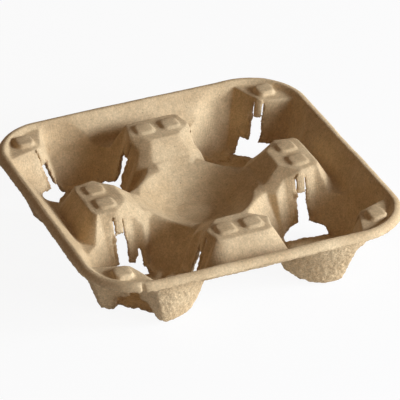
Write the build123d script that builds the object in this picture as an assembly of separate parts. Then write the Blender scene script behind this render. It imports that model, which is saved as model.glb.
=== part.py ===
"""Four-cup drinks carrier, pressed in one piece from paper pulp.

One sheet of pulp about two millimetres thick runs over the whole tray. It rolls
outward at the rim, drops into four tapered cup pockets and a round centre well,
and rises between the pockets as four flat platforms. The sheet is made as the
space over it, once for each of its two faces, and the difference is the pulp.
Millimetres, Z up, feet on Z = 0, middle of the tray on the Z axis.
"""
import os
from math import cos, hypot, radians, sqrt, tan

from build123d import *

# Sheet and overall form
wall = 2.0                     # thickness of the pressed pulp
rim_height = 44.5              # feet to the crest of the rim
tray_side = 216.0              # across the rolled lip
tray_corner = 39.7             # plan radius of the lip at the tray's corners

# Rolled lip
lip_roll = 4.7                 # radius that turns the rim over and down
lip_drop = 5.2                 # crest to the lower edge of the lip
crest_flat = 0.7               # level strip on top of the rim
lip_inner_bevel = 2.35         # slope under the crest where the sheet turns down

# Basin inside the rim, which forms the channels behind the platforms
rim_slope = 42.4               # slope of the inner rim, from vertical
shoulder_depth = 10.7          # crest to the soft shoulder on that slope
channel_slope = 29.0           # steeper wall under the shoulder, from vertical
channel_depth = 17.0           # crest to the channel floor
channel_round = 4.0            # rounding along the channel floor

# Cup pockets
pocket_offset = 59.0           # tray middle to a pocket's axis, along X and along Y
pocket_mouth = 43.0            # pocket radius at crest height
pocket_draft = 18.9            # slope of the pocket wall, from vertical
pocket_floor_bevel = 2.0       # slope between wall and floor inside
pocket_foot_bevel = 3.2        # slope between wall and floor underneath

# Ribs that run down each pocket, one to the corner and two to the platforms
platform_rib_turn = 129.2      # angle from the corner direction to a platform rib
platform_rib_reach = 37.8      # pocket axis to the rib's edge at crest height
platform_rib_lean = 0.31       # how far the edge moves in for each millimetre down
platform_rib_flank = 19.0      # angle of the rib's sides in plan
platform_rib_round = 8.0       # rounding of the rib's edge
corner_rib_reach = 27.3
corner_rib_lean = 0.39
corner_rib_flank = 25.0
corner_rib_round = 5.0
corner_ledge_depth = 3.0       # crest to the ledge on top of the corner rib

# Platforms between the pockets
platform_outer = 78.0          # tray middle to the outer edge
platform_width = 44.0          # width before the pockets bite into it
platform_corner = 9.0          # plan radius of the outer corners
platform_slope = 30.5          # slope of the outer side, from vertical

# Centre well and the saddles between it and the pockets
well_floor_depth = 27.0        # crest to the well floor
well_floor_radius = 18.0
well_slope = 53.7              # slope of the bowl, from vertical
well_floor_bevel = 5.0         # slope between the bowl's wall and its floor
well_face_reach = 52.6         # tray middle to the platforms' edges over the well
well_face_slope = 47.8         # slope of the platforms' faces over the well
well_ledge_depth = 10.5        # crest to the foot of those faces
saddle_depth = 13.5            # crest to the level top of a saddle
saddle_half_span = 30.3        # half the gap between two platforms along a saddle
saddle_flank_slope = 46.0      # slope of the platforms' flanks over the saddle
saddle_back_slope = 30.0       # slope of the pocket's wall under a saddle, from vertical
saddle_foot_half = 9.0         # half the width of that wall where the tray stands

# Raised pads that keep stacked trays apart
pad_side = 11.5
pad_rise = 1.5
pad_reach = 66.5               # tray middle to a platform pad's centre
pad_spread = 9.0               # platform middle to a pad's centre, sideways
pad_slope = 20.0               # slope of a pad's sides, from vertical
pad_corner = 2.0               # cut across each corner of a pad
pad_corner_turn = 22.5         # half the turn between a pad's side and that cut
corner_pad_side = 11.0
corner_pad_rise = 3.0
corner_pad_reach = 37.5        # pocket axis to the pad on the corner ledge

# Punched slots and the wide openings at their feet
slot_width = 7.0
slot_top_depth = 15.5          # crest to the upper end of the open slot
slit_width = 0.9               # gaps on both sides of the flap that is left above the slot
slit_top_depth = 5.5
corner_slit_top_depth = 6.0
corner_opening_depth = 31.2    # crest to the upper edge of the opening at a corner
corner_opening_width = 21.4    # width along that edge
corner_opening_foot = 28.0     # width where the tray stands
corner_opening_reach = 14.0    # pocket axis to the opening's edge in the floor
platform_opening_depth = 34.0  # the same for the openings under the platforms,
platform_opening_width = 9.0   # which flare below their upper edge
platform_opening_foot = 29.0
platform_opening_reach = 22.5
platform_opening_flare = 4.6   # height of the flare's widest point
rib_foot_clear = 6.0           # pocket axis to where a corner rib's foot is cut away

margin = 5.0                   # how far construction blocks run past what they shape
same_height = 0.01             # edges closer in height than this count as level

crest = rim_height
pocket_distance = hypot(pocket_offset, pocket_offset)
pocket_floor = wall
channel_floor = crest - channel_depth
well_floor = crest - well_floor_depth
basin_mouth = tray_side / 2 - lip_roll - crest_flat
basin_corner = tray_corner - lip_roll - crest_flat
quarter_turns = (0, 90, 180, 270)
rib_turns = (0, platform_rib_turn, -platform_rib_turn)
low_edge = (Align.MIN, Align.CENTER, Align.MIN)
high_edge = (Align.CENTER, Align.CENTER, Align.MAX)
base = (Align.CENTER, Align.CENTER, Align.MIN)


def run(slope):
    """Sideways run for each millimetre of height on a face with this slope."""
    return tan(radians(slope))


def grown(shift, slope):
    """Sideways move that shifts a face with this slope by the given distance."""
    return shift / cos(radians(slope))


def tapered_square(half, corner, top, bottom, slope):
    """Rounded square block that narrows downward, with its size given at the top."""
    plan = Pos(0, 0, top) * RectangleRounded(2 * half, 2 * half, corner)
    return extrude(plan, amount=top - bottom, dir=(0, 0, -1), taper=slope)


def level_edges(body, height):
    """Edges of a body that lie at one height."""
    return body.edges().filter_by_position(Axis.Z, height - same_height, height + same_height)


def funnel(radius_at_floor, floor, slope, top):
    """Round block that widens upward from its floor."""
    height = top - floor
    cone = Cone(radius_at_floor, radius_at_floor + height * run(slope), height, align=base)
    return Pos(0, 0, floor) * cone


def basin(shift):
    """Space inside the rim with the channel floor, its faces moved out by shift."""
    floor = channel_floor - shift
    upper_growth = grown(shift, rim_slope)
    upper = tapered_square(basin_mouth + upper_growth, basin_corner + upper_growth,
                           crest, floor, rim_slope)
    mouth_growth = shoulder_depth * (run(channel_slope) - run(rim_slope))
    mouth_growth = mouth_growth + grown(shift, channel_slope)
    lower = tapered_square(basin_mouth + mouth_growth, basin_corner + mouth_growth,
                           crest, floor, channel_slope)
    both = upper + lower
    return fillet(level_edges(both, floor), channel_round + shift)


def platforms(shift):
    """The raised blocks that carry the platforms, two crossing bars seen from above."""
    top = crest - shift
    bottom = channel_floor - margin
    half_length = platform_outer - grown(shift, platform_slope) + shift * run(platform_slope)
    plan = Pos(0, 0, top) * RectangleRounded(2 * half_length, platform_width, platform_corner)
    bar = extrude(plan, amount=top - bottom, dir=(0, 0, -1), taper=-platform_slope)
    core_side = pocket_offset * 2 - pocket_mouth
    core = Pos(0, 0, top) * Box(core_side, core_side, top - bottom, align=high_edge)
    return bar + Rot(0, 0, 90) * bar + core


def rib_wedge(reach, lean, flank, edge_round, top, shift):
    """Leaning wedge in the pocket's own frame, its sharp edge towards the axis."""
    edge_shift = shift * sqrt(1 + run(flank) ** 2 + lean ** 2)
    edge = reach + edge_shift + lean * (top - crest)
    half = pocket_mouth
    back = edge + half * run(flank)
    plan = Pos(0, 0, top) * Polygon((edge, 0), (back, half), (back, -half), align=None)
    height = top + margin
    slant = Vector(-lean * height, 0, -height)
    wedge = extrude(plan, amount=slant.length, dir=slant.normalized())
    sharp_edge = wedge.edges().filter_by(Axis((0, 0, 0), slant)).sort_by(Axis.X)[0]
    return fillet(sharp_edge, edge_round - shift)


def pocket_place(turn):
    """Place of a pocket's axis, with X pointing to the tray's corner."""
    return Rot(0, 0, turn + 45) * Pos(pocket_distance, 0, 0)


def trough(shift):
    """Valley along X between the flanks of two platforms, narrower under the saddle."""
    half = saddle_half_span + grown(shift, saddle_flank_slope)
    saddle = crest - saddle_depth - shift
    neck = half - (crest - saddle) * run(saddle_flank_slope)
    foot = saddle_foot_half + shift
    outline = Polygon((-half, crest), (half, crest), (neck, saddle), (foot, 0), (-foot, 0),
                      (-neck, saddle), align=None)
    return extrude(Plane.YZ * outline, amount=pocket_distance, both=True)


def pocket(shift):
    """Space of one cup pocket with its platform ribs, in the pocket's own frame."""
    floor = pocket_floor - shift
    radius = pocket_mouth + (floor - crest) * run(pocket_draft) + grown(shift, pocket_draft)
    bevel = pocket_foot_bevel if shift else pocket_floor_bevel
    space = funnel(radius, floor, pocket_draft, crest)
    space = chamfer(level_edges(space, floor), bevel)
    under_saddle = funnel(radius, floor, saddle_back_slope, crest)
    space = space + (under_saddle & Pos(-pocket_distance, 0, 0) * trough(shift))
    wedge = rib_wedge(platform_rib_reach, platform_rib_lean, platform_rib_flank,
                      platform_rib_round, crest - shift, shift)
    return space - [Rot(0, 0, turn) * wedge for turn in rib_turns if turn]


def well(shift):
    """Space over the centre well: the bowl, the faces above it and the saddles."""
    floor = well_floor - shift
    radius = well_floor_radius + shift * run((90 - well_slope) / 2)
    bowl = funnel(radius, floor, well_slope, crest - well_ledge_depth)
    bowl = chamfer(level_edges(bowl, floor), well_floor_bevel)
    reach = well_face_reach + grown(shift, well_face_slope)
    faces = extrude(Pos(0, 0, crest) * Rectangle(2 * reach, 2 * reach), dir=(0, 0, -1),
                    amount=well_ledge_depth + shift, taper=well_face_slope)
    over = Pos(0, 0, crest - saddle_depth - shift) * Box(
        2 * pocket_distance, 2 * pocket_distance, saddle_depth + shift, align=base)
    saddle = trough(shift) & over
    saddles = [Rot(0, 0, 45) * saddle, Rot(0, 0, 135) * saddle]
    return bowl + faces + saddles


def space_over(shift):
    """All the open space over one face of the sheet, up to the crest."""
    space = basin(shift) - platforms(shift)
    for turn in quarter_turns:
        space = space + pocket_place(turn) * pocket(shift)
    space = space + well(shift)
    ledge = crest - corner_ledge_depth - shift
    for turn in quarter_turns:
        wedge = rib_wedge(corner_rib_reach, corner_rib_lean, corner_rib_flank,
                          corner_rib_round, ledge, shift)
        space = space - pocket_place(turn) * wedge
    return space


def lid():
    """Top sheet over the whole tray with the rolled lip, before the tray is sunk into it."""
    outer = tapered_square(tray_side / 2, tray_corner, crest, crest - lip_drop, 0)
    outer = fillet(level_edges(outer, crest), lip_roll)
    under = crest - wall
    inner = tapered_square(tray_side / 2 - wall, tray_corner - wall, under,
                           crest - lip_drop - margin, 0)
    inner = chamfer(level_edges(inner, under), lip_inner_bevel)
    return outer - inner


def pad(side, rise, ground, shift):
    """Raised square pad on a level face at height ground, shrunk by shift for its hollow."""
    top = ground + rise - shift
    bottom = ground - wall / 2 - shift * 2
    half = side / 2 - shift
    cut = pad_corner - shift * run(pad_corner_turn)
    plan = Pos(0, 0, top) * chamfer(Rectangle(2 * half, 2 * half).vertices(), cut)
    return extrude(plan, amount=top - bottom, dir=(0, 0, -1), taper=-pad_slope)


def pads(shift):
    """All twelve pads: two on each platform and one on each corner ledge."""
    platform_pad = pad(pad_side, pad_rise, crest, shift)
    corner_pad = pad(corner_pad_side, corner_pad_rise, crest - corner_ledge_depth, shift)
    corner_pad = Pos(corner_pad_reach, 0, 0) * Rot(0, 0, 45) * corner_pad
    found = []
    for turn in quarter_turns:
        for side in (-pad_spread, pad_spread):
            found.append(Rot(0, 0, turn) * Pos(pad_reach, side, 0) * platform_pad)
        found.append(pocket_place(turn) * corner_pad)
    return found


def opening_cutter(outline, reach, top):
    """Cutter for a wide opening, in the rib's own frame, with its outline across the rib."""
    across = extrude(Plane.YZ * Polygon(*outline, align=None), amount=pocket_mouth)
    side = Polygon((reach, 0), (reach, pocket_floor), (rib_foot_clear, pocket_floor),
                   (rib_foot_clear, top), (pocket_mouth, top), (pocket_mouth, 0), align=None)
    return across & extrude(Plane.XZ * side, amount=pocket_mouth, both=True)


def corner_opening():
    """Opening under a corner rib, a little wider at its foot."""
    top = crest - corner_opening_depth
    half = corner_opening_width / 2
    foot = corner_opening_foot / 2
    outline = [(-foot, 0), (foot, 0), (half, top), (-half, top)]
    return opening_cutter(outline, corner_opening_reach, top)


def platform_opening():
    """Opening under a platform rib, flared like a bell below the slot."""
    top = crest - platform_opening_depth
    half = platform_opening_width / 2
    foot = platform_opening_foot / 2
    flare = platform_opening_flare
    outline = [(-foot, 0), (foot, 0), (foot, flare), (half, top), (-half, top), (-foot, flare)]
    return opening_cutter(outline, platform_opening_reach, top)


def punches():
    """Cutters for the slots, the slits beside their flaps and the wide openings."""
    found = []
    slot_top = crest - slot_top_depth
    for turn in rib_turns:
        opening = platform_opening() if turn else corner_opening()
        length = pocket_mouth - rib_foot_clear
        slot = Pos(rib_foot_clear, 0, pocket_floor) * Box(
            length, slot_width, slot_top - pocket_floor, align=low_edge)
        cutters = [opening, slot]
        slit_top = crest - (slit_top_depth if turn else corner_slit_top_depth)
        slit = Box(length, slit_width, slit_top - slot_top + margin, align=low_edge)
        for side in (-1, 1):
            place = Pos(rib_foot_clear, side * (slot_width - slit_width) / 2, slot_top - margin)
            cutters.append(place * slit)
        found = found + [Rot(0, 0, turn) * cutter for cutter in cutters]
    return found


def carrier():
    """The finished tray: lid and sunk sheet joined, hollowed from above and punched."""
    below_lid = Pos(0, 0, crest - wall / 2) * Box(
        tray_side, tray_side, tray_side, align=high_edge)
    body = lid() + (space_over(wall) & below_lid)
    body = body - space_over(0)
    body = body + pads(0)
    body = body - pads(wall)
    cutters = punches()
    return body - [pocket_place(turn) * cutter for turn in quarter_turns for cutter in cutters]


os.makedirs("parts", exist_ok=True)
export_step(carrier(), "parts/cup_carrier.step")
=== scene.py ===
"""Looks of the moulded pulp drinks tray: the pressed sheet, its paper finish and a plain studio.

The tray's solid is turned into one even skin, and its creases are softened as wet pulp softens
them. What the punch leaves is added to it: narrow slits beside bent flaps, raised strips of
floor around the wide openings, and one opening that is torn further up. Geometry nodes then
give the upper side soft press marks, the underside the grainy felt of drained pulp, and every
cut a ragged edge. Metres, Z up, in the frame's own place, unless a heading says millimetres.
"""
import math

import bmesh
import bpy
import numpy as np
from mathutils import Matrix, Vector


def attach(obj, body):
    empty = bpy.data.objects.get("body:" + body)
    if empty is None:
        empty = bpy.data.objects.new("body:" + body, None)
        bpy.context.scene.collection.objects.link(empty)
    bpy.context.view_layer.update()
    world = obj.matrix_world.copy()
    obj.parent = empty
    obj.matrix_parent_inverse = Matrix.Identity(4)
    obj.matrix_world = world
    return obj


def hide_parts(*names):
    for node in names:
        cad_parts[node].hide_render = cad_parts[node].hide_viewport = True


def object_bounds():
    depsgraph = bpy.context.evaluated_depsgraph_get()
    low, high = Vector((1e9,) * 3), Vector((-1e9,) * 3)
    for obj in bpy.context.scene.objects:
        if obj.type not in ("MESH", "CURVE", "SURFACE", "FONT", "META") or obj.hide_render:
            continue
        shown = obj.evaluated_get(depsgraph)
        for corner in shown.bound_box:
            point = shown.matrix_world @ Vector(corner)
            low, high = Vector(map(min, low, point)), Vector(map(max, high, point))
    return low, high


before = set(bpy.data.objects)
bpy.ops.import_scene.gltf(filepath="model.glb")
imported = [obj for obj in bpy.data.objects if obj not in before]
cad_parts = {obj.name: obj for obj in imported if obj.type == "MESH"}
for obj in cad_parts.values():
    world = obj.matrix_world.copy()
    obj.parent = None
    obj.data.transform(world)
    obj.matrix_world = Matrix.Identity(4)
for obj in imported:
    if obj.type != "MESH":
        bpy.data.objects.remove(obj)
cad_low, cad_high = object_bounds()

MM = 0.001

# Punched cuts, in millimetres

# In a rib's own frame, u runs out from the pocket's axis along the rib, v across it and z up.
# An edge is listed on one side of its rib, from the floor upward.
POCKET_OFFSET = 59.0           # a pocket's axis from the tray's middle, along x and along y
PLATFORM_TURN = 129.2          # degrees from a pocket's corner rib to the ribs at its platforms
RIB_TURNS = (0.0, PLATFORM_TURN, -PLATFORM_TURN)
RIB_SPAN = (4.0, 48.0)         # part of a rib where its cuts lie, along u
SHEET = 2.0                    # thickness of the pulp
SLOT_HALF = 3.5                # half the width of a slot
SLOT_TOP = 29.0
SLIT_SIDE = 3.05               # how far the two slits above a slot stand from the rib's middle
SLIT_TOP = 39.0
CORNER_SILL = 14.0             # where a wide opening starts in the floor, along u
PLATFORM_SILL = 22.5
CORNER_EDGE = ((14.0, 0.0), (10.7, 13.3), (SLOT_HALF, 13.3), (SLOT_HALF, SLOT_TOP))
PLATFORM_EDGE = ((14.5, 0.0), (14.5, 4.6), (4.5, 10.5), (SLOT_HALF, 10.5), (SLOT_HALF, SLOT_TOP))
SLIT_EDGE = ((SLIT_SIDE, SLOT_TOP), (SLIT_SIDE, SLIT_TOP))

# What the press and the punch leave around the cuts, in millimetres
TEAR_WIDTH = 3.6               # how far from a cut the paper is ragged
SILL_RISE = 1.5                # raised strip of floor around a wide opening
SILL_WIDTH = 5.0
SILL_FADE = 3.0
SILL_HEIGHTS = (SHEET + 1, 8.0)  # over these heights the rise fades out up the wall
FLAP_PUSH = 1.4                # how far a slot's flap is bent outward at its lower end
FLAP_START = SLOT_TOP - 2.0    # height at which a flap begins
FLAP_FADE = (SLOT_TOP, SLIT_TOP - 2.0)  # over these heights its bend fades out
SLIT_CUT = 1.9                 # width at which a slit goes into the skin, which closes finer gaps
SLIT_OVERLAP = 1.0             # how far a slit's cutter runs down into the slot
SLIT_CLOSE = 1.42              # how far each side then comes back towards the slit
SLIT_REACH = 2.6               # width of the paper that moves beside a slit
SLIT_RAGGED = 0.3              # raggedness of a slit against that of a wide opening
NICK = (-79.6, -104.4, 41.8)   # middle of the nick in the rolled lip
NICK_HALF_WIDTH = 1.0
NICK_HALF_HEIGHT = 4.0
NICK_DEPTH = 2.0

# The opening that is torn further up, in millimetres
TORN_RIB = (2, -PLATFORM_TURN)  # quarter and turn of its rib; its outlines are given as v and z
LOBE = ((-13.2, 3.0), (-12.9, 9.5), (-11.6, 12.8), (-9.9, 12.2), (-8.1, 8.8), (-8.3, 3.0))
TEAR_UP = ((-13.1, 9.0), (-12.6, 17.4), (-10.9, 17.4), (-11.0, 9.0))
CUT_SPAN = (16.0, 46.0)        # how far every cutter runs along u

# Skin of the pressed sheet
SAME_POINT = 1e-6              # metres within which two points of the solid are one
SKIN_STEP = 0.55 * MM          # spacing of the skin's points
SOFTEN_STEPS = (0.5, -0.34)    # each pass: towards the neighbours, then part of the way back
CREASE_PASSES = 11             # softening of the creases
FACET_PASSES = 34              # softening of the nearly flat faces
CREASE_GAP = (0.04, 0.14)      # millimetres between both, from flat face to crease
PAD_ROUNDING = 0.7             # how much of their crispness the raised pads lose
PAD_HEIGHTS = (44.6, 45.3)     # millimetres, from the platforms' tops to the pads' edges
FACE_LIMIT = 190000            # triangles kept for the skin
STAND_PROUD = 0.6 * MM         # most that the skin may pass the solid's box, except underneath

# Relief of the skin: the inputs of its node tree, lengths in metres
RELIEF = {"Grain size": 0.0026, "Grain height": 0.0007, "Press height": 0.00012,
          "Wave size": 0.03, "Wave height": 0.0005, "Tear size": 0.0034, "Tear reach": 0.0012,
          "Fold depth": 0.0006, "Seed": 3.0}
NOISE_MIDDLE = 0.5
NOISE_GAIN = 2.6               # brings noise, which stays near its middle, to about its full height
PRESS_SCALE = 2.2              # size of a press mark against that of a grain
RIP_SCALE = 3.2                # size of the broad rips against that of the fine ones
RIP_REACH = 1.2                # reach of the broad rips against that of the fine ones
FOLD_START = (0.2, 0.36)       # the torn mask where the crease beside a cut begins
FOLD_END = (0.56, 0.4)         # and where it ends
FOLD_BREAKS = (130.0, 2.0, 0.6)  # noise that breaks the crease: cells to the metre and so on
FOLD_SHARE = (0.42, 0.56)      # noise from where it is broken to where it is whole

# Which faces count as the screen's smooth side: how far up their normal points
FELT_TO_SCREEN = (-0.12, 0.16)

# Finish of the pulp

# Each noise has its cells to the metre, its detail and its roughness, and a range gives the
# noise that it starts and ends at, then what comes out there.
DARK_PULP = (0.595, 0.415, 0.222, 1)
PALE_PULP = (0.73, 0.54, 0.31, 1)
CLOUDS = (38.0, 4.0, 0.55)     # dark and pale patches
CLOUD_RANGE = (0.3, 0.7)
GRAIN = (800.0, 3.0, 0.7)      # fine grain all over
GRAIN_RANGE = (0.25, 0.75, 0.71, 1.18)
MOTTLE = (260.0, 2.0, 0.5)     # soft mottling between grain and patches
MOTTLE_RANGE = (0.3, 0.7, 0.93, 1.05)
FELT = (640.0, 2.0, 0.6)       # darker pits of the underside
FELT_RANGE = (0.3, 0.65, 0.84, 1.06)
SPECKS = 420.0                 # cells to the metre, few of which hold a dark speck
SPECK_RANGE = (0.1, 0.2, 0.55, 1.0)
SPECK_RARITY = (0.9, 0.92)
# Painted shade: the paper is darkened in a band along the punched edges, where the openings' shade
# falls
CUT_SHADE_TINT = (0.62, 0.5, 0.4, 1)  # painted shade along the cut edges: what it takes from the paper's colour
CUT_SHADE_SHARE = 0.8
CUT_SHADE_RANGE = (0.3, 0.85)
CUT_SHADE_BREAKS = (420.0, 3.0, 0.7)     # breaks in the painted shade along the cut edges
CUT_SHADE_BREAK_RANGE = (0.36, 0.6)

# Fine surface of the pulp, as heights against each other
SCREEN_PITCH = 1.5 * MM        # spacing of the screen's wires
WIRE_HEIGHT = 0.09
WIRE_PATCHES = (55.0, 2.0, 0.5)  # where the wires show and where they don't
WIRE_RANGE = (0.4, 0.62)
FIBRE = (1100.0, 4.0, 0.7)
FIBRE_HEIGHT = 0.7             # on the smooth side
FELT_FIBRE_HEIGHT = 1.6        # on the underside
PEBBLES = 520.0                # lumps of the underside, to the metre
PEBBLE_HEIGHT = 1.9
BUMP_STRENGTH = 0.8
BUMP_DISTANCE = 0.00035
PULP_ROUGHNESS = 0.78
PULP_SPECULAR = 0.45

# Studio
FLOOR_HALF = 6.0
FLOOR_DROP = 0.2 * MM          # the floor lies this far below the feet
FLOOR_GREY = (0.9, 0.9, 0.9, 1)
FLOOR_ROUGHNESS = 0.9
WHITE_SHARE = 0.92             # how much of the floor's white is its own glow to the camera
WARM_FILL = (1.0, 0.61, 0.33, 1)
FILL_LEVEL = 0.13
WHITE = (1, 1, 1, 1)
KEY_COLOUR = (0.92, 1.02, 1.16)
LAMP_DISTANCE = 1.9
LAMP_AIM = 0.02                # height of the point that the lamps are aimed at

# Camera of the photograph, solved from the tray's rim and platforms

# Angles are degrees, and the sensor and the lens are millimetres.
CAMERA_AZIMUTH = -22.8922
CAMERA_ELEVATION = 31.1145
CAMERA_ROLL = -0.3922
CAMERA_DISTANCE = 2.02797
CAMERA_AIM = 0.0445            # height of the point that it looks at, the rim's crest
CAMERA_SENSOR = 36.0
CAMERA_LENS = 286.57
CAMERA_SHIFT = (0.00875, -0.0628)
CAMERA_CLIP = 100


# Meshes

def clean_copy(node_name):
    """Joined-up copy of a node's mesh, because the frame holds it as loose triangles."""
    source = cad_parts[node_name].data.copy()
    work = bmesh.new()
    work.from_mesh(source)
    bmesh.ops.remove_doubles(work, verts=work.verts, dist=SAME_POINT)
    bmesh.ops.recalc_face_normals(work, faces=work.faces)
    work.to_mesh(source)
    work.free()
    return source


def baked(obj):
    """The object with its modifiers turned into a plain mesh."""
    graph = bpy.context.evaluated_depsgraph_get()
    mesh = bpy.data.meshes.new_from_object(obj.evaluated_get(graph), depsgraph=graph)
    obj.modifiers.clear()
    obj.data = mesh
    return obj


def points_of(mesh):
    """Every point of a mesh, one row each."""
    flat = np.empty(len(mesh.vertices) * 3)
    mesh.vertices.foreach_get("co", flat)
    return flat.reshape(-1, 3)


def put_points(mesh, points):
    """Moves the mesh's points to the rows given."""
    mesh.vertices.foreach_set("co", points.astype(np.float32).ravel())
    mesh.update()


def edge_pairs(mesh):
    """Numbers of the two points that each edge joins."""
    flat = np.empty(len(mesh.edges) * 2, dtype=np.int32)
    mesh.edges.foreach_get("vertices", flat)
    return flat.reshape(-1, 2)


def store(mesh, name, values):
    """Keeps one number for each point as an attribute, for the node trees to read."""
    layer = mesh.attributes.get(name) or mesh.attributes.new(name, "FLOAT", "POINT")
    layer.data.foreach_set("value", values.astype(np.float32))


def softened(points, edges, passes):
    """Points moved towards their neighbours and part of the way back, pass after pass."""
    count = len(points)
    ends = np.concatenate([edges[:, 0], edges[:, 1]])
    others = np.concatenate([edges[:, 1], edges[:, 0]])
    weight = np.bincount(ends, minlength=count).reshape(-1, 1)
    for _ in range(passes):
        for factor in SOFTEN_STEPS:
            total = np.empty_like(points)
            for axis in range(3):
                total[:, axis] = np.bincount(ends, points[others, axis], minlength=count)
            points = points + factor * (total / weight - points)
    return points


# Marks of the punch

def ramp(values, low, high):
    """Smooth rise from 0 at low to 1 at high."""
    share = np.clip((values - low) / (high - low), 0, 1)
    return share * share * (3 - 2 * share)


def to_line(v, z, ends):
    """Distance in the v, z plane from each point to the stretch between two ends."""
    (v0, z0), (v1, z1) = ends
    length = math.hypot(v1 - v0, z1 - z0)
    along = ((v - v0) * (v1 - v0) + (z - z0) * (z1 - z0)) / length
    across = ((v - v0) * (z1 - z0) - (z - z0) * (v1 - v0)) / length
    return np.hypot(across, np.maximum(-along, 0) + np.maximum(along - length, 0))


def rib_places():
    """Quarter and turn of each of the twelve ribs."""
    return [(quarter, turn) for quarter in range(4) for turn in RIB_TURNS]


def rib_frame(quarter, turn):
    """A pocket's axis in millimetres, and the directions along and across one of its ribs."""
    corner = math.radians(45 + 90 * quarter)
    angle = corner + math.radians(turn)
    axis = POCKET_OFFSET * math.sqrt(2) * np.array((math.cos(corner), math.sin(corner), 0))
    along = np.array((math.cos(angle), math.sin(angle), 0))
    across = np.array((-math.sin(angle), math.cos(angle), 0))
    return axis, along, across


def ribs(points):
    """Every rib's cuts and directions, with the points' places in its own frame."""
    for quarter, turn in rib_places():
        edge, sill = (PLATFORM_EDGE, PLATFORM_SILL) if turn else (CORNER_EDGE, CORNER_SILL)
        axis, along, across = rib_frame(quarter, turn)
        away = points / MM - axis
        yield edge, sill, along, across, away @ along, away @ across, away[:, 2]


def on_rib(u):
    """Which points lie where a rib has its cuts."""
    return (u > RIB_SPAN[0]) & (u < RIB_SPAN[1])


def torn_share(points):
    """How near each point is to a punched edge: 1 on the edge, 0 from TEAR_WIDTH away."""
    best = np.full(len(points), np.inf)
    for edge, sill, _, _, u, v, z in ribs(points):
        v = np.abs(v)
        near = [to_line(v, z, line) for line in zip(edge[:-1], edge[1:])]
        near.append(to_line(v, z, SLIT_EDGE) + (1 - SLIT_RAGGED) * TEAR_WIDTH)
        beside = np.maximum(v - edge[0][0], 0)
        near.append(np.hypot(np.hypot(u - sill, beside), np.maximum(z - SHEET, 0)))
        best = np.minimum(best, np.where(on_rib(u), np.minimum.reduce(near), np.inf))
    return np.clip(1 - best / TEAR_WIDTH, 0, 1)


def sill_rise(edge, sill, u, v, z):
    """How far the strip of floor around a wide opening is raised, in millimetres."""
    away = np.hypot(np.maximum(sill - u, 0), np.maximum(v - edge[0][0], 0))
    share = 1 - ramp(away, SILL_WIDTH, SILL_WIDTH + SILL_FADE)
    return share * (1 - ramp(z, *SILL_HEIGHTS)) * (u > 0) * (u < RIB_SPAN[1]) * SILL_RISE


def pressed_forms(points):
    """The points with raised strips of floor, bent flaps, narrow slits and the nick in the lip."""
    moved = points.copy()
    for edge, sill, along, across, u, v, z in ribs(points):
        side = np.sign(v)
        v = np.abs(v)
        moved[:, 2] += sill_rise(edge, sill, u, v, z) * MM
        flap = (v < SLIT_SIDE) & on_rib(u) & (z > FLAP_START)
        push = flap * (1 - ramp(z, *FLAP_FADE)) * FLAP_PUSH * MM
        beside = np.clip(1 - to_line(v, z, SLIT_EDGE) / SLIT_REACH, 0, 1) * on_rib(u)
        spread = side * np.sign(SLIT_SIDE - v) * beside * SLIT_CLOSE * MM
        moved += np.outer(push, along) + np.outer(spread, across)
    away = (points / MM - NICK) / (NICK_HALF_WIDTH, NICK_HALF_HEIGHT, NICK_HALF_HEIGHT)
    moved[:, 1] += np.exp(-(away ** 2).sum(axis=1)) * NICK_DEPTH * MM
    return moved


def prism(quarter, turn, outline):
    """Corners and faces of a prism that runs along a rib, its outline given across the rib."""
    axis, along, across = rib_frame(quarter, turn)
    corners = [(axis + u * along + v * across + (0, 0, z)) * MM for u in CUT_SPAN for v, z in outline]
    count = len(outline)
    faces = [(k, (k + 1) % count, (k + 1) % count + count, k + count) for k in range(count)]
    return corners, faces + [tuple(range(count))[::-1], tuple(range(count, 2 * count))]


def cutter(name, prisms):
    """One object from several prisms that don't touch."""
    corners, faces = [], []
    for more_corners, more_faces in prisms:
        faces += [tuple(k + len(corners) for k in face) for face in more_faces]
        corners += more_corners
    mesh = bpy.data.meshes.new(name)
    mesh.from_pydata(corners, [], faces)
    work = bmesh.new()
    work.from_mesh(mesh)
    bmesh.ops.recalc_face_normals(work, faces=work.faces)
    work.to_mesh(mesh)
    work.free()
    obj = bpy.data.objects.new(name, mesh)
    bpy.context.scene.collection.objects.link(obj)
    return obj


def slit_outline(side):
    """Outline of the cutter for the slit on one side of a flap, as v and z."""
    left = side * SLIT_SIDE - SLIT_CUT / 2
    right = side * SLIT_SIDE + SLIT_CUT / 2
    low = SLOT_TOP - SLIT_OVERLAP
    return [(left, low), (right, low), (right, SLIT_TOP), (left, SLIT_TOP)]


def cutters():
    """Wider slits beside every flap, and the one opening that is torn further up."""
    slits = [prism(*place, slit_outline(side)) for place in rib_places() for side in (-1, 1)]
    return [cutter("slits", slits), cutter("lobe", [prism(*TORN_RIB, LOBE)]),
            cutter("tear", [prism(*TORN_RIB, TEAR_UP)])]


# Node trees

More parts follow.
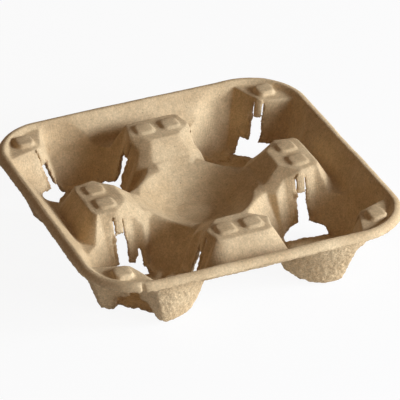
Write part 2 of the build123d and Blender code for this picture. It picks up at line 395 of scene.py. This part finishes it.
class Tree:
    """Short way to write a node tree: each call adds a node, fills its inputs and gives its output."""

    # Of a Mix node's many inputs: the share and both sides, for numbers and for colours
    number_inputs = (0, 2, 3)
    colour_inputs = (0, 6, 7)

    def __init__(self, tree):
        self.tree = tree

    def add(self, kind, **settings):
        """A new node with its settings."""
        node = self.tree.nodes.new(kind)
        for name, value in settings.items():
            setattr(node, name, value)
        return node

    def set(self, socket, value):
        """Links a socket to an input, or gives the input a plain value."""
        if isinstance(value, bpy.types.NodeSocket):
            self.tree.links.new(value, socket)
        elif value is not None:
            socket.default_value = value

    def math(self, operation, a, b=None):
        node = self.add("ShaderNodeMath", operation=operation)
        self.set(node.inputs[0], a)
        self.set(node.inputs[1], b)
        return node.outputs[0]

    def vector(self, operation, a, b=None, scale=None):
        node = self.add("ShaderNodeVectorMath", operation=operation)
        self.set(node.inputs[0], a)
        self.set(node.inputs[1], b)
        if scale is not None:
            self.set(node.inputs["Scale"], scale)
        return node.outputs[0]

    def parts(self, vector):
        """The three parts of a vector."""
        node = self.add("ShaderNodeSeparateXYZ")
        self.set(node.inputs[0], vector)
        return node.outputs

    def noise(self, place, scale, detail, roughness, colour=False, seed=None):
        node = self.add("ShaderNodeTexNoise", noise_dimensions="3D" if seed is None else "4D")
        self.set(node.inputs["Vector"], place)
        if seed is not None:
            self.set(node.inputs["W"], seed)
        self.set(node.inputs["Scale"], scale)
        self.set(node.inputs["Detail"], detail)
        self.set(node.inputs["Roughness"], roughness)
        return node.outputs["Color" if colour else "Fac"]

    def cells(self, place, scale, **settings):
        """A field of cells, each with its own colour and the distance from its middle."""
        node = self.add("ShaderNodeTexVoronoi", **settings)
        self.set(node.inputs["Vector"], place)
        self.set(node.inputs["Scale"], scale)
        return node.outputs

    def blend(self, share, a, b):
        """Plain mix of two numbers."""
        node = self.add("ShaderNodeMix", data_type="FLOAT")
        for index, value in zip(self.number_inputs, (share, a, b)):
            self.set(node.inputs[index], value)
        return node.outputs[0]

    def mix(self, share, a, b, way="MIX"):
        """Mix of two colours."""
        node = self.add("ShaderNodeMix", data_type="RGBA", blend_type=way)
        for index, value in zip(self.colour_inputs, (share, a, b)):
            self.set(node.inputs[index], value)
        return node.outputs[2]

    def fade(self, share, value):
        """1 where share is 0, and the value where it is 1."""
        return self.math("ADD", 1.0, self.math("MULTIPLY", share, self.math("SUBTRACT", value, 1.0)))

    def grey(self, value):
        node = self.add("ShaderNodeCombineColor")
        for socket in node.inputs:
            self.set(socket, value)
        return node.outputs[0]

    def range(self, value, low, high, to_low=0.0, to_high=1.0, smooth=True):
        node = self.add("ShaderNodeMapRange", interpolation_type="SMOOTHSTEP" if smooth else "LINEAR")
        for socket, item in zip(node.inputs, (value, low, high, to_low, to_high)):
            self.set(socket, item)
        return node.outputs[0]


def shader_group(name, given, made):
    """New shader group with named inputs and outputs, its tree to fill, and both ends of it."""
    group = bpy.data.node_groups.new(name, "ShaderNodeTree")
    for socket, kind in given.items():
        group.interface.new_socket(socket, in_out="INPUT", socket_type=kind)
    for socket, kind in made.items():
        group.interface.new_socket(socket, in_out="OUTPUT", socket_type=kind)
    t = Tree(group)
    return group, t, t.add("NodeGroupInput").outputs, t.add("NodeGroupOutput").inputs


def empty_material(name):
    """New material without nodes, and its tree to fill."""
    material = bpy.data.materials.new(name)
    material.use_nodes = True
    material.node_tree.nodes.clear()
    return material, Tree(material.node_tree)


# Pressed sheet

def relief_tree(material):
    """Pushes the skin in and out: felt grain underneath, soft press marks on top, torn edges."""
    tree = bpy.data.node_groups.new("pulp relief", "GeometryNodeTree")
    face = tree.interface
    face.new_socket("Geometry", in_out="INPUT", socket_type="NodeSocketGeometry")
    face.new_socket("Geometry", in_out="OUTPUT", socket_type="NodeSocketGeometry")
    for name in RELIEF:
        face.new_socket(name, in_out="INPUT", socket_type="NodeSocketFloat")
    t = Tree(tree)
    given = t.add("NodeGroupInput").outputs
    place = t.add("GeometryNodeInputPosition").outputs[0]
    normal = t.add("GeometryNodeInputNormal").outputs[0]
    torn = t.add("GeometryNodeInputNamedAttribute", data_type="FLOAT")
    torn.inputs[0].default_value = "torn"
    torn = torn.outputs[0]

    def bumps(size, height, detail, roughness):
        """Lumps of a size, half of them up and half of them down."""
        field = t.noise(place, t.math("DIVIDE", 1.0, size), detail, roughness, seed=given["Seed"])
        reach = t.math("MULTIPLY", height, NOISE_GAIN)
        return t.math("MULTIPLY", t.math("SUBTRACT", field, NOISE_MIDDLE), reach)

    def warp(size, reach):
        """Sideways push of the torn edges."""
        field = t.noise(place, t.math("DIVIDE", 1.0, size), detail=3.0, roughness=0.7, colour=True,
                        seed=given["Seed"])
        amount = t.math("MULTIPLY", torn, t.math("MULTIPLY", reach, NOISE_GAIN))
        return t.vector("SCALE", t.vector("SUBTRACT", field, (NOISE_MIDDLE,) * 3), scale=amount)

    grain = bumps(given["Grain size"], given["Grain height"], detail=2.0, roughness=0.6)
    press_size = t.math("MULTIPLY", given["Grain size"], PRESS_SCALE)
    press = bumps(press_size, given["Press height"], detail=1.0, roughness=0.5)
    wave = bumps(given["Wave size"], given["Wave height"], detail=1.0, roughness=0.4)
    height = t.math("ADD", t.blend(t.range(t.parts(normal)[2], *FELT_TO_SCREEN), grain, press), wave)
    fold = t.math("MULTIPLY", t.range(torn, *FOLD_START), t.range(torn, *FOLD_END))
    whole = t.range(t.noise(place, *FOLD_BREAKS, seed=given["Seed"]), *FOLD_SHARE)
    fold = t.math("MULTIPLY", t.math("MULTIPLY", fold, whole), given["Fold depth"])
    height = t.math("SUBTRACT", height, fold)
    rips = warp(t.math("MULTIPLY", given["Tear size"], RIP_SCALE),
                t.math("MULTIPLY", given["Tear reach"], RIP_REACH))
    ragged = t.vector("ADD", warp(given["Tear size"], given["Tear reach"]), rips)
    move = t.add("GeometryNodeSetPosition")
    t.set(move.inputs["Geometry"], given["Geometry"])
    t.set(move.inputs["Offset"], t.vector("ADD", t.vector("SCALE", normal, scale=height), ragged))
    smooth = t.add("GeometryNodeSetShadeSmooth")
    t.set(smooth.inputs[0], move.outputs[0])
    joined = t.add("GeometryNodeRealizeInstances")
    t.set(joined.inputs[0], smooth.outputs[0])
    painted = t.add("GeometryNodeSetMaterial")
    t.set(painted.inputs["Geometry"], joined.outputs[0])
    painted.inputs["Material"].default_value = material
    t.set(t.add("NodeGroupOutput").inputs[0], painted.outputs[0])
    return tree


def punched_copy():
    """Copy of the tray's solid with the wider slits and the tear cut out of it."""
    obj = bpy.data.objects.new("pulp_sheet", clean_copy("cup_carrier"))
    bpy.context.scene.collection.objects.link(obj)
    tools = cutters()
    for tool in tools:
        cut = obj.modifiers.new(tool.name, "BOOLEAN")
        cut.object = tool
        cut.solver = "EXACT"
    baked(obj)
    for tool in tools:
        bpy.data.objects.remove(tool)
    return obj


def soft_skin(obj):
    """Even skin over the object, its flat faces smooth and its creases and pads still clear."""
    remesh = obj.modifiers.new("even skin", "REMESH")
    remesh.mode = "VOXEL"
    remesh.voxel_size = SKIN_STEP
    mesh = baked(obj).data
    edges = edge_pairs(mesh)
    crisp = softened(points_of(mesh), edges, CREASE_PASSES)
    soft = softened(crisp, edges, FACET_PASSES - CREASE_PASSES)
    gap = np.linalg.norm(soft - crisp, axis=1, keepdims=True) / MM
    share = ramp(gap, *CREASE_GAP)
    share = share * (1 - PAD_ROUNDING * ramp(crisp[:, 2:] / MM, *PAD_HEIGHTS))
    points = pressed_forms(soft + share * (crisp - soft))
    put_points(mesh, points)
    store(mesh, "torn", torn_share(points))


def add_relief(obj, material):
    """Pulp's relief on the skin, made light enough to keep and held close to the solid's box."""
    relief = obj.modifiers.new("relief", "NODES")
    relief.node_group = relief_tree(material)
    for socket in relief.node_group.interface.items_tree:
        if socket.name in RELIEF:
            relief[socket.identifier] = RELIEF[socket.name]
    triangles = sum(len(face.vertices) - 2 for face in obj.data.polygons)
    thin = obj.modifiers.new("lighter", "DECIMATE")
    thin.ratio = min(1.0, FACE_LIMIT / triangles)
    mesh = baked(obj).data
    points = points_of(mesh)
    low = np.array(cad_low) - STAND_PROUD
    high = np.array(cad_high) + STAND_PROUD
    low[2] = cad_low[2]
    put_points(mesh, np.clip(points, low, high))
    store(mesh, "torn", torn_share(points))
    for face in mesh.polygons:
        face.use_smooth = True


def pressed_sheet(material):
    """The whole tray as one even skin with the relief of pressed pulp."""
    obj = punched_copy()
    soft_skin(obj)
    add_relief(obj, material)
    return obj


# Finish of the pulp

def underside_group():
    """Mask of the faces that look down or outward, where the pulp keeps its rough felt."""
    group, t, _, made = shader_group("underside", {}, {"Mask": "NodeSocketFloat"})
    up = t.parts(t.add("ShaderNodeNewGeometry").outputs["Normal"])[2]
    t.set(made["Mask"], t.range(up, *FELT_TO_SCREEN[::-1]))
    return group


def pulp_colour_group():
    """Brown pulp with cloudy patches, fine grain and dark specks, and painted shade along the cut
    edges.
    """
    group, t, given, made = shader_group(
        "pulp colour", {"Place": "NodeSocketVector", "Underside": "NodeSocketFloat",
                        "Torn": "NodeSocketFloat"}, {"Color": "NodeSocketColor"})
    place = given["Place"]
    cloudy = t.mix(t.range(t.noise(place, *CLOUDS), *CLOUD_RANGE), DARK_PULP, PALE_PULP)
    grain = t.range(t.noise(place, *GRAIN), *GRAIN_RANGE, smooth=False)
    shade = t.math("MULTIPLY", grain, t.range(t.noise(place, *MOTTLE), *MOTTLE_RANGE))
    felt = t.range(t.noise(place, *FELT), *FELT_RANGE)
    shade = t.math("MULTIPLY", shade, t.fade(given["Underside"], felt))
    speck = t.cells(place, SPECKS)
    parts = t.add("ShaderNodeSeparateColor")
    t.set(parts.inputs[0], speck["Color"])
    rare = t.range(parts.outputs[0], *SPECK_RARITY)
    dot = t.fade(rare, t.range(speck["Distance"], *SPECK_RANGE))
    plain = t.mix(1.0, cloudy, t.grey(t.math("MULTIPLY", shade, dot)), "MULTIPLY")
    # Painted shade along the cut edges, broken up by noise
    ragged = t.range(t.noise(place, *CUT_SHADE_BREAKS), *CUT_SHADE_BREAK_RANGE)
    torn = t.math("MULTIPLY", t.range(given["Torn"], *CUT_SHADE_RANGE), ragged)
    shaded_by_cuts = t.mix(1.0, plain, CUT_SHADE_TINT, "MULTIPLY")
    t.set(made["Color"], t.mix(t.math("MULTIPLY", torn, CUT_SHADE_SHARE), plain, shaded_by_cuts))
    return group


def pulp_height_group():
    """Height of the fine surface: marks of the wire screen on top, pebbly felt underneath."""
    group, t, given, made = shader_group(
        "pulp height", {"Place": "NodeSocketVector", "Underside": "NodeSocketFloat"},
        {"Height": "NodeSocketFloat"})
    place = given["Place"]
    normal = t.parts(t.add("ShaderNodeNewGeometry").outputs["Normal"])
    turns = 2 * math.pi / SCREEN_PITCH
    wires = 0.0
    for along, facing in zip(t.parts(place), normal):
        wave = t.math("SINE", t.math("MULTIPLY", along, turns))
        lean = t.math("SUBTRACT", 1.0, t.math("MULTIPLY", facing, facing))
        wires = t.math("ADD", t.math("MULTIPLY", wave, t.math("MULTIPLY", lean, WIRE_HEIGHT)), wires)
    wires = t.math("MULTIPLY", wires, t.range(t.noise(place, *WIRE_PATCHES), *WIRE_RANGE))
    fibre = t.noise(place, *FIBRE)
    smooth_side = t.math("ADD", wires, t.math("MULTIPLY", fibre, FIBRE_HEIGHT))
    lumps = t.math("SUBTRACT", 1.0, t.cells(place, PEBBLES, feature="SMOOTH_F1")["Distance"])
    rough_side = t.math("ADD", t.math("MULTIPLY", lumps, PEBBLE_HEIGHT),
                        t.math("MULTIPLY", fibre, FELT_FIBRE_HEIGHT))
    t.set(made["Height"], t.blend(given["Underside"], smooth_side, rough_side))
    return group


def pulp_material():
    """Dry matte pulp."""
    material, t = empty_material("moulded pulp")
    place = t.add("ShaderNodeTexCoord").outputs["Object"]
    under = t.add("ShaderNodeGroup", node_tree=underside_group()).outputs["Mask"]
    colour = t.add("ShaderNodeGroup", node_tree=pulp_colour_group())
    height = t.add("ShaderNodeGroup", node_tree=pulp_height_group())
    for group in (colour, height):
        t.set(group.inputs["Place"], place)
        t.set(group.inputs["Underside"], under)
    # Nearness to the cut edges, which the colour group turns into painted shade
    torn = t.add("ShaderNodeAttribute", attribute_name="torn")
    t.set(colour.inputs["Torn"], torn.outputs["Fac"])
    shader = t.add("ShaderNodeBsdfPrincipled")
    t.set(shader.inputs["Base Color"], colour.outputs["Color"])
    shader.inputs["Roughness"].default_value = PULP_ROUGHNESS
    shader.inputs["Specular IOR Level"].default_value = PULP_SPECULAR
    bump = t.add("ShaderNodeBump")
    bump.inputs["Strength"].default_value = BUMP_STRENGTH
    bump.inputs["Distance"].default_value = BUMP_DISTANCE
    t.set(bump.inputs["Height"], height.outputs["Height"])
    t.set(shader.inputs["Normal"], bump.outputs[0])
    t.set(t.add("ShaderNodeOutputMaterial").inputs["Surface"], shader.outputs[0])
    return material


# Studio

def background_share(t):
    """1 for the rays that show the background: the camera's, and those in gloss and glass."""
    rays = t.add("ShaderNodeLightPath").outputs
    seen = t.math("MAXIMUM", rays["Is Camera Ray"], rays["Is Glossy Ray"])
    return t.math("MAXIMUM", seen, rays["Is Transmission Ray"])


def white_floor():
    """White to the camera and in reflections, and a pale matte floor to every other ray."""
    material, t = empty_material("floor")
    shader = t.add("ShaderNodeBsdfPrincipled")
    shader.inputs["Base Color"].default_value = FLOOR_GREY
    shader.inputs["Roughness"].default_value = FLOOR_ROUGHNESS
    shader.inputs["Specular IOR Level"].default_value = 0.0
    mix = t.add("ShaderNodeMixShader")
    t.set(mix.inputs[0], t.math("MULTIPLY", background_share(t), WHITE_SHARE))
    t.set(mix.inputs[1], shader.outputs[0])
    t.set(mix.inputs[2], t.add("ShaderNodeEmission").outputs[0])
    t.set(t.add("ShaderNodeOutputMaterial").inputs["Surface"], mix.outputs[0])
    return material


def lay_floor():
    """Wide plain floor just under the tray's feet."""
    mesh = bpy.data.meshes.new("floor")
    half = FLOOR_HALF
    mesh.from_pydata([(-half, -half, 0), (half, -half, 0), (half, half, 0), (-half, half, 0)], [],
                     [(0, 1, 2, 3)])
    floor = bpy.data.objects.new("floor", mesh)
    floor.location.z = -FLOOR_DROP
    floor.data.materials.append(white_floor())
    bpy.context.scene.collection.objects.link(floor)


def light_world():
    """White background, and a low warm fill for everything else."""
    world = bpy.data.worlds.new("studio")
    world.use_nodes = True
    world.node_tree.nodes.clear()
    t = Tree(world.node_tree)
    seen = background_share(t)
    fill = t.add("ShaderNodeBackground")
    t.set(fill.inputs["Color"], t.mix(seen, WARM_FILL, WHITE))
    t.set(fill.inputs["Strength"], t.range(seen, 0, 1, FILL_LEVEL, 1.0, smooth=False))
    t.set(t.add("ShaderNodeOutputWorld").inputs["Surface"], fill.outputs[0])
    bpy.context.scene.world = world


def bearing(azimuth, elevation):
    """Direction at an angle around from +X and up, both in degrees."""
    around, above = math.radians(azimuth), math.radians(elevation)
    return Vector((math.cos(above) * math.cos(around), math.cos(above) * math.sin(around),
                   math.sin(above)))


def lamp(name, azimuth, elevation, size, level):
    """Square lamp aimed at the tray; a matte face turned to it shows its own colour at level 1."""
    away = bearing(azimuth, elevation)
    data = bpy.data.lights.new(name, "AREA")
    data.size = size
    data.energy = level * (math.pi * LAMP_DISTANCE) ** 2
    data.color = KEY_COLOUR
    obj = bpy.data.objects.new(name, data)
    obj.location = away * LAMP_DISTANCE + Vector((0, 0, LAMP_AIM))
    obj.rotation_euler = away.to_track_quat("Z", "Y").to_euler()
    bpy.context.scene.collection.objects.link(obj)


def photo_camera():
    """The camera that took the photograph; its azimuth of 0 looks along +Y."""
    azimuth, roll = math.radians(CAMERA_AZIMUTH), math.radians(CAMERA_ROLL)
    back = bearing(CAMERA_AZIMUTH - 90, CAMERA_ELEVATION)
    right = Vector((math.cos(azimuth), math.sin(azimuth), 0))
    up = back.cross(right)
    rolled_right = right * math.cos(roll) + up * math.sin(roll)
    rolled_up = up * math.cos(roll) - right * math.sin(roll)
    data = bpy.data.cameras.new("camera")
    data.sensor_width = CAMERA_SENSOR
    data.lens = CAMERA_LENS
    data.shift_x, data.shift_y = CAMERA_SHIFT
    data.clip_end = CAMERA_CLIP
    obj = bpy.data.objects.new("camera", data)
    turn = Matrix((rolled_right, rolled_up, back)).transposed().to_4x4()
    obj.matrix_world = Matrix.Translation(Vector((0, 0, CAMERA_AIM)) + back * CAMERA_DISTANCE) @ turn
    bpy.context.scene.collection.objects.link(obj)
    bpy.context.scene.camera = obj


# Scene

bpy.context.scene.view_settings.view_transform = "Standard"

sheet = pressed_sheet(pulp_material())
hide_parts("cup_carrier")
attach(sheet, "root")

lay_floor()
light_world()
lamp("key", azimuth=-30, elevation=19, size=0.5, level=0.98)
lamp("key side", azimuth=-55, elevation=18, size=0.6, level=0.54)
photo_camera()
